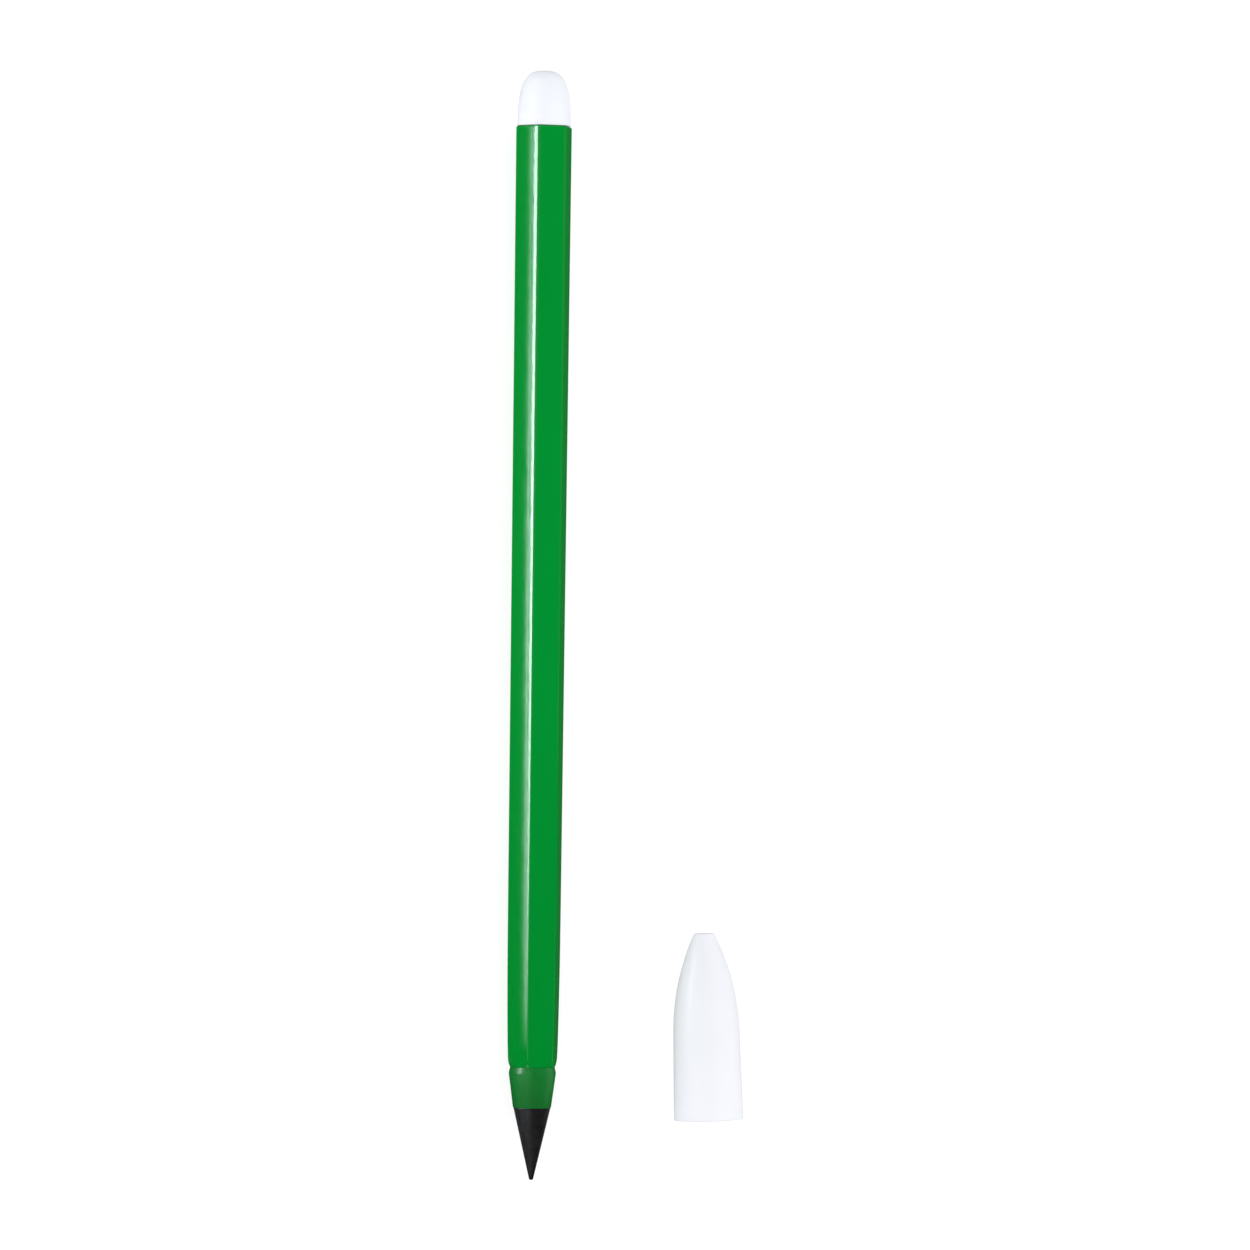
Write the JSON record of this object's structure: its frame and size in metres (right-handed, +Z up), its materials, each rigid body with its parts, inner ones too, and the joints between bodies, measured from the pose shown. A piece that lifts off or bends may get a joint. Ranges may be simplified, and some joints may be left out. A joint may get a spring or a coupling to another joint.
{
  "type": "inkless pen",
  "caption": "Six-sided pencil-shaped inkless pen with a screw-in head and solid cone nib, an eraser plug at the rear, and its hollow bullet cap taken off beside it.",
  "frame": {"origin": "on the barrel's resting facet, below the pen's axis and half way along the pen's length", "axes": "+Y from the nib to the eraser, +Z up from the surface that the pen lies on, +X towards the cap"},
  "size_m": [0.0393, 0.175, 0.0111],
  "materials": {
    "barrel_plastic": "glossy moulded plastic, strong green",
    "collar_plastic": "slightly see-through darker green plastic, satin gloss",
    "nib_graphite": "satin black graphite compound with a faint mottle",
    "eraser_rubber": "smooth matte white rubber with a trace of blue",
    "cap_plastic": "glossy bluish-white moulded plastic"
  },
  "bodies": {
    "barrel": {"barrel": "barrel_plastic"},
    "nib": {"nib": "nib_graphite"},
    "head": {"nose_collar": "collar_plastic"},
    "eraser": {"eraser": "eraser_rubber"},
    "cap": {"cap": "cap_plastic"}
  },
  "joints": [
    {"name": "nib_advance", "type": "slide", "parent": "barrel", "child": "nib", "axis": [0, -1, -0.0016], "range_m": [0, 0.008]},
    {"name": "head_turn", "type": "hinge", "parent": "nib", "child": "head", "pos_m": [0, -0.00001, 0.00397], "axis": [0, -1, -0.0016], "range_deg": [0, 2880.5]},
    {"name": "eraser_pull", "type": "slide", "parent": "barrel", "child": "eraser", "axis": [0, 1, 0.0016], "range_m": [0, 0.0085]},
    {"name": "cap_slide", "type": "slide", "parent": "barrel", "child": "cap", "axis": [-0.0326, 0.9995, 0], "range_m": [0, 0.0274]}
  ],
  "couplings": [
    {"joint": "head_turn", "follows": "nib_advance", "rad_per_m": 6283.2}
  ]
}
